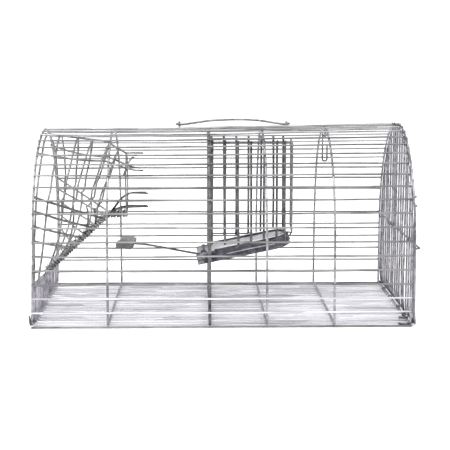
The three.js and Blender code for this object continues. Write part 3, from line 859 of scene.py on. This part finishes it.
def tray_hook():
    """A small wire loop that stands off the nose, for bait."""
    work = Wirework()
    nose = EAR_END + TRAY_LENGTH
    z = TRAY_TOP_Z
    corners = [Vector((nose - 0.012, -0.009, z - 0.0006)), Vector((nose - 0.004, -0.006, z + 0.0016)),
               Vector((nose + 0.0035, -0.001, z - 0.001)), Vector((nose + 0.002, 0.004, z - 0.005)),
               Vector((nose - 0.001, 0.006, z - 0.006))]
    work.tube(rounded(corners, 0.004), 0.0009)
    work.piece("tray_nose_hook", "tray", [], DARK_WIRE, "dark_wire", TILT)


def pivot_rod():
    """The smooth rod that the tray rocks on, from eye to eye."""
    work = Wirework()
    reach = ACROSS * 0.038
    work.tube(straight(PIVOT - reach, PIVOT + reach), 0.0015, 10, lumps=0.03)
    work.piece("pivot_rod", "tray", ["tray_pivot_rod"], WIRE_ZINC, "galvanised_wire")


def block(corners, half_width, shift, soft):
    """A lump of folded sheet: the (x, z) corners carried across the cage, its edges softened."""
    bm = bmesh.new()
    ends = (shift - half_width, shift + half_width)
    skin(bm, [[bm.verts.new((x, y, z)) for x, z in corners] for y in ends])
    bmesh.ops.bevel(bm, geom=bm.edges[:], offset=soft, segments=3, profile=0.6, affect="EDGES")
    for face in bm.faces:
        face.smooth = True
    return bm


def counterweight():
    """Two folds of sheet pinched on the end of the arm, the upper one a lid over the lower. The lower fold
    is painted darker as shade under the lid, the upper one lighter as lit from above.
    """
    x, z = WEIGHT_X, WEIGHT_Z
    body = [(x - 0.0115, z - 0.0040), (x + 0.0050, z - 0.0064), (x + 0.0090, z - 0.0030),
            (x + 0.0090, z + 0.0012), (x - 0.0090, z + 0.0020), (x - 0.0115, z + 0.0006)]
    flap = [(x - 0.0082, z + 0.0018), (x + 0.0066, z + 0.0012), (x + 0.0115, z + 0.0016),
            (x + 0.0115, z + 0.0044), (x + 0.0060, z + 0.0064), (x - 0.0066, z + 0.0060)]
    closed_piece("weight_body_painted_shade", "tray", ["counterweight"], block(body, WEIGHT_HALF_WIDTH, 0, 0.0011),
                 WEIGHT_PAINTED_SHADE)
    closed_piece("weight_fold_painted_light", "tray", [], block(flap, WEIGHT_HALF_WIDTH - 0.0012, 0, 0.0010),
                 WEIGHT_PAINTED_LIGHT)


def counterweight_arm():
    """The wire from the weight to the pivot rod, wrapped once round the rod."""
    work = Wirework()
    corners = [Vector((WEIGHT_X + 0.004, 0, WEIGHT_Z)), Vector((-0.090, 0, 0.0698)),
               Vector((-0.055, 0, 0.0634)), Vector((PIVOT.x - 0.0034, 0, PIVOT.z - 0.0022))]
    path = rounded(corners, 0.012)
    work.tube(bowed(path, 0.0006, 12, 0.05), 0.0012)
    wrap = circle(Vector((PIVOT.x, -0.0022, PIVOT.z)), 0.0026, ACROSS, 1.8, 14, 0.0044)
    work.tube(wrap, 0.0010)
    work.piece("weight_arm", "tray", ["counterweight_arm"], DARK_WIRE, "dark_wire")


def tray_painted_highlights():
    """Painted highlights: thin plates of lighter colour on the folded sheet, inside the far ear, outside
    the near one, and along a crease.
    """
    z = TRAY_TOP_Z
    far = [(EAR_END + 0.0006, z - 0.0012), (PARTITION_X + 0.0015, z - 0.0012),
           (PARTITION_X + 0.0015, z - 0.0100), (EAR_END + 0.0006, z - 0.0100)]
    near = [(EAR_END + 0.0002, z - 0.0030), (PIVOT.x - 0.0008, z - 0.0034),
            (PIVOT.x - 0.0008, z - 0.0112), (EAR_END + 0.0002, z - 0.0112)]
    crease = [(0.001, z - 0.0062), (0.028, z - 0.0057), (0.057, z - 0.0060),
              (0.058, z - 0.0052), (0.028, z - 0.0045), (0.003, z - 0.0052)]
    thin = 0.0004
    closed_piece("far_ear_painted_highlight", "tray", [], block(far, thin, TRAY_HALF - TRAY_SHEET - thin, 0.0001),
                 TRAY_PAINTED_HIGHLIGHT, TILT)
    closed_piece("near_ear_painted_highlight", "tray", [], block(near, thin, -TRAY_HALF - thin, 0.0001),
                 WEIGHT_PAINTED_LIGHT, TILT)
    closed_piece("flange_crease_painted_highlight", "tray", [], block(crease, 0.0005, -TRAY_HALF - 0.0008, 0.0002),
                 TRAY_PAINTED_HIGHLIGHT, TILT)


def coil(name, body, node, centre, normal, radius, wire, turns, rise, ends=(), material=DARK_WIRE):
    """A wire eye: a short coil and the straight tails that fix it."""
    work = Wirework()
    start = centre - normal * (rise / 2)
    work.tube(circle(start, radius, normal, turns, 16, rise), wire)
    for a, b in ends:
        work.tube(straight(a, b, 0.002), wire)
    work.piece(name, body, [node], material, "dark_wire")


def tray_eyes():
    for word, side in (("near", -1), ("far", 1)):
        centre = Vector((PIVOT.x, side * TRAY_EYE_Y, PIVOT.z))
        tail = [(centre + Vector((0.0010, 0, -0.0026)), centre + Vector((0.0054, side * 0.0004, -0.0022)))]
        coil(f"tray_{word}_loop", "cage", f"tray_{word}_eye", centre, ACROSS,
             0.0026, 0.0009, 1.5, 0.0016, tail)


tray_edge()
tray_sheet()
tray_rim()
tray_hook()
tray_painted_highlights()
pivot_rod()
counterweight()
counterweight_arm()
tray_eyes()

# ---- rear door -----------------------------------------------------------------------------


def jogged(points):
    """The door's wires step out to the hinge line at their feet."""
    return [p + Vector((DOOR_JOG * max(0.0, 1 - (p.z - HINGE_Z) / 0.012), 0, 0)) for p in points]


def rear_door():
    """The D-shaped door: its frame, its uprights and two weld lumps on the near shoulder."""
    work = Wirework()
    work.tube(jogged(bowed(d_ring(DOOR_X, 0.0, HINGE_Z), 0.0006, 77)), 0.0012, 10, closed=True)
    y = DOOR_PITCH / 2
    while y < WIDTH / 2:
        for side in (-1, 1):
            foot = Vector((DOOR_X, side * y, HINGE_Z))
            head = Vector((DOOR_X, side * y, inside_top(DOOR_X, y, 0)))
            work.tube(jogged(bowed(straight(foot, head), 0.0005, side * y * 900)), WIRE_R * 1.1)
            work.weld(jogged([foot])[0], 0.0016, ALONG)
            work.weld(head, 0.0016, ALONG)
        y += DOOR_PITCH
    for s in (0.128, 0.138):
        work.weld(profile(s, 0.0, DOOR_X + 0.0012), 0.0021)
    work.piece("rear_door_grille", "door", ["rear_door"], DOOR_ZINC, "galvanised_wire")


def clip_bar():
    """The wire across the door, hooked round the cage's two sides."""
    work = Wirework()
    near, far = Vector((CLIP_X, -CLIP_REACH, CLIP_Z)), Vector((CLIP_X, CLIP_REACH, CLIP_Z))
    hook = ALONG * CLIP_HOOK
    path = rounded([near - hook, near, far, far - hook], 0.004)
    work.tube(path[:7] + straight(path[7], path[-8], 0.006)[:-1] + path[-8:], 0.001)
    work.piece("spring_clip_bar", "clip", ["clip_bar"], DARK_WIRE, "galvanised_wire")


def door_rings():
    for word, side in (("near", -1), ("far", 1)):
        hinge = Vector((DOOR_X + DOOR_JOG, side * HINGE_Y, HINGE_Z))
        coil(f"door_{word}_hinge_ring", "cage", f"door_{word}_hinge_eye", hinge, ACROSS,
             0.0021, 0.0007, 2.3, 0.0034)
        guide = Vector((CLIP_X, side * GUIDE_Y, CLIP_Z))
        coil(f"clip_{word}_loop", "door", f"clip_{word}_guide", guide, ACROSS, 0.0019, 0.0007, 1.6, 0.0018,
             [(guide + Vector((-0.0003, 0, 0.0019)), guide + Vector((-0.0024, 0, 0.0026)))])


def corner_ties():
    """Short twists of dark wire that lace the door end to the floor, and one at its crown."""
    work = Wirework()
    for place, turns in ((-0.085, 1.6), (-0.045, 1.2), (0.012, 1.4), (0.060, 1.2), (0.100, 1.6)):
        start = Vector((END_RIB_X - 0.002, place, FLOOR_TOP + 0.0008))
        work.tube(circle(start, 0.0016, Vector((0.4, 1, 0)), turns, 12, 0.004, place * 50), 0.0006)
    for y, z, reach in ((-0.104, 0.0066, 0.010), (-0.113, 0.0018, 0.011)):
        end = Vector((END_RIB_X - 0.0005, y, z))
        work.tube(bowed(straight(end - ALONG * reach, end, 0.002), 0.0016, y * 90, 0.01), 0.0013)
    crown = profile(PROFILE / 2, -0.0002, END_RIB_X - 0.005)
    work.tube(circle(crown, 0.0020, ALONG, 1.6, 12, 0.004), 0.0006)
    work.weld(profile(PROFILE / 2 - 0.012, 0.0010, END_RIB_X - 0.0010), 0.0022)
    work.piece("door_end_ties", "cage", [], DARK_WIRE, "dark_wire")


rear_door()
clip_bar()
door_rings()
corner_ties()

# ---- handle and bait hook ------------------------------------------------------------------


def carry_handle():
    """A flat bail; each end runs through its eye and is curled back."""
    work = Wirework()
    left, right = ALONG * HANDLE_LEFT, ALONG * HANDLE_RIGHT
    rise = ACROSS * HANDLE_RISE
    corners = [left - ALONG * HANDLE_TAIL, left + ALONG * 0.001, left + ALONG * 0.040 + rise,
               right - ALONG * 0.030 + rise, right - ALONG * 0.001, right + ALONG * HANDLE_TAIL]
    bend = rounded(corners, 0.019, 10)
    path = [point for a, b in zip(bend, bend[1:]) for point in straight(a, b, 0.004)[:-1]] + [bend[-1]]
    work.tube(bowed(path, 0.0006, 5, 0.03), 0.0012, 10)
    reach = ALONG * (HANDLE_TAIL - 0.0005)
    for place, way in ((left - reach, -1), (right + reach, 1)):
        curl = circle(place + ACROSS * HANDLE_CURL_R, HANDLE_CURL_R, UP * way, 0.8, 14, 0.0008)
        work.tube(curl, 0.0012, 8)
    turn = Matrix.Translation((0, HANDLE_Y, HANDLE_Z)) @ Matrix.Rotation(HANDLE_LEAN, 4, "X")
    work.piece("carry_bail", "handle", ["carry_handle"], FUNNEL_ZINC, "galvanised_wire", turn)


def handle_eyes():
    for word, x in (("left", HANDLE_LEFT - 0.0035), ("right", HANDLE_RIGHT + 0.0035)):
        centre = Vector((x, HANDLE_Y, HANDLE_Z))
        tail = [(centre + Vector((0, 0.0020, -0.0016)), centre + Vector((0, 0.0075, -0.0016)))]
        coil(f"handle_{word}_loop", "cage", f"handle_{word}_eye", centre, ALONG,
             0.0029, 0.0007, 1.5, 0.0018, tail, WIRE_ZINC)


def bait_hanger():
    """A short wire staple under the hoop; the bait hook swings on its lowest stretch."""
    work = Wirework()
    x, reach = BAIT_X, 0.006
    high = inside_top(x, reach, RIB_INSET - RIB_R)
    corners = [Vector((x, -reach, high)), Vector((x, -reach, BAIT_Z)), Vector((x, reach, BAIT_Z)),
               Vector((x, reach, high))]
    work.tube(rounded(corners, 0.0022), 0.0008)
    work.piece("bait_hanger_wire", "cage", ["bait_hook_hanger"], WIRE_ZINC, "galvanised_wire")


def bait_hook():
    """A long narrow hook hung from its own ring."""
    work = Wirework()
    spread = 0.0026
    work.tube(circle(Vector((BAIT_X, 0, BAIT_Z)), spread, ACROSS, 0.92, 14), 0.0007)
    corners = [Vector((BAIT_X - spread, 0, BAIT_Z - 0.0022)), Vector((BAIT_X - spread, 0, BAIT_BOTTOM)),
               Vector((BAIT_X + spread, 0, BAIT_BOTTOM)), Vector((BAIT_X + spread, 0, BAIT_BOTTOM + 0.018))]
    work.tube(rounded(corners, 0.0025), 0.0009)
    work.piece("bait_hook_wire", "hook", ["bait_hook"], DARK_WIRE, "dark_wire")


carry_handle()
handle_eyes()
bait_hanger()
bait_hook()

# ---- stage ---------------------------------------------------------------------------------


def stage():
    """A plain pale floor just under the cage."""
    bpy.ops.mesh.primitive_plane_add(size=40, location=(0, 0, -0.0005))
    ground = bpy.context.object
    ground.name = "stage_floor"
    material = bpy.data.materials.new("pale_floor")
    material.use_nodes = True
    shader = material.node_tree.nodes["Principled BSDF"]
    shader.inputs["Base Color"].default_value = (0.93, 0.93, 0.93, 1)
    shader.inputs["Roughness"].default_value = 0.9
    ground.data.materials.append(material)


def studio():
    """A soft sky, brightest overhead and dim behind the cage, over a white strip along the horizon."""

    def ranged(value, start, end, low, high):
        node = nodes.new("ShaderNodeMapRange")
        for name, number in (("From Min", start), ("From Max", end), ("To Min", low), ("To Max", high)):
            node.inputs[name].default_value = number
        links.new(value, node.inputs["Value"])
        return node

    world = bpy.data.worlds.new("studio")
    bpy.context.scene.world = world
    world.use_nodes = True
    nodes, links = world.node_tree.nodes, world.node_tree.links
    direction = nodes.new("ShaderNodeTexCoord").outputs["Generated"]
    facing = nodes.new("ShaderNodeVectorMath")
    facing.operation = "DOT_PRODUCT"
    links.new(direction, facing.inputs[0])
    facing.inputs[1].default_value = SKY_FACING
    strength = ranged(facing.outputs["Value"], -0.35, 0.95, 0.25, 1.9)
    strength.interpolation_type = "SMOOTHSTEP"
    height = nodes.new("ShaderNodeSeparateXYZ")
    links.new(direction, height.inputs[0])
    horizon = ranged(height.outputs["Z"], 0.20, 0.32, 1.1, 0.0)
    brighter = nodes.new("ShaderNodeMath")
    brighter.operation = "MAXIMUM"
    links.new(strength.outputs["Result"], brighter.inputs[0])
    links.new(horizon.outputs["Result"], brighter.inputs[1])
    back = nodes["Background"]
    back.inputs["Color"].default_value = (1, 1, 1, 1)
    links.new(brighter.outputs["Value"], back.inputs["Strength"])
    bpy.context.scene.view_settings.view_transform = "Standard"


def lamp(name, place, target, size, power):
    data = bpy.data.lights.new(name, "AREA")
    data.size = size
    data.energy = power
    obj = bpy.data.objects.new(name, data)
    obj.location = place
    obj.rotation_euler = (Vector(target) - Vector(place)).to_track_quat("-Z", "Y").to_euler()
    bpy.context.scene.collection.objects.link(obj)


def camera():
    data = bpy.data.cameras.new("photo_camera")
    data.lens = CAMERA_LENS
    data.sensor_width = 36
    obj = bpy.data.objects.new("photo_camera", data)
    obj.location = CAMERA_PLACE
    obj.rotation_euler = CAMERA_TURN
    bpy.context.scene.collection.objects.link(obj)
    bpy.context.scene.camera = obj


stage()
studio()
lamp("key", (-0.9, -0.7, 1.8), (0, 0, 0.1), 1.2, 22)
lamp("fill", (1.4, -0.6, 1.2), (0, 0, 0.1), 1.0, 8)
camera()
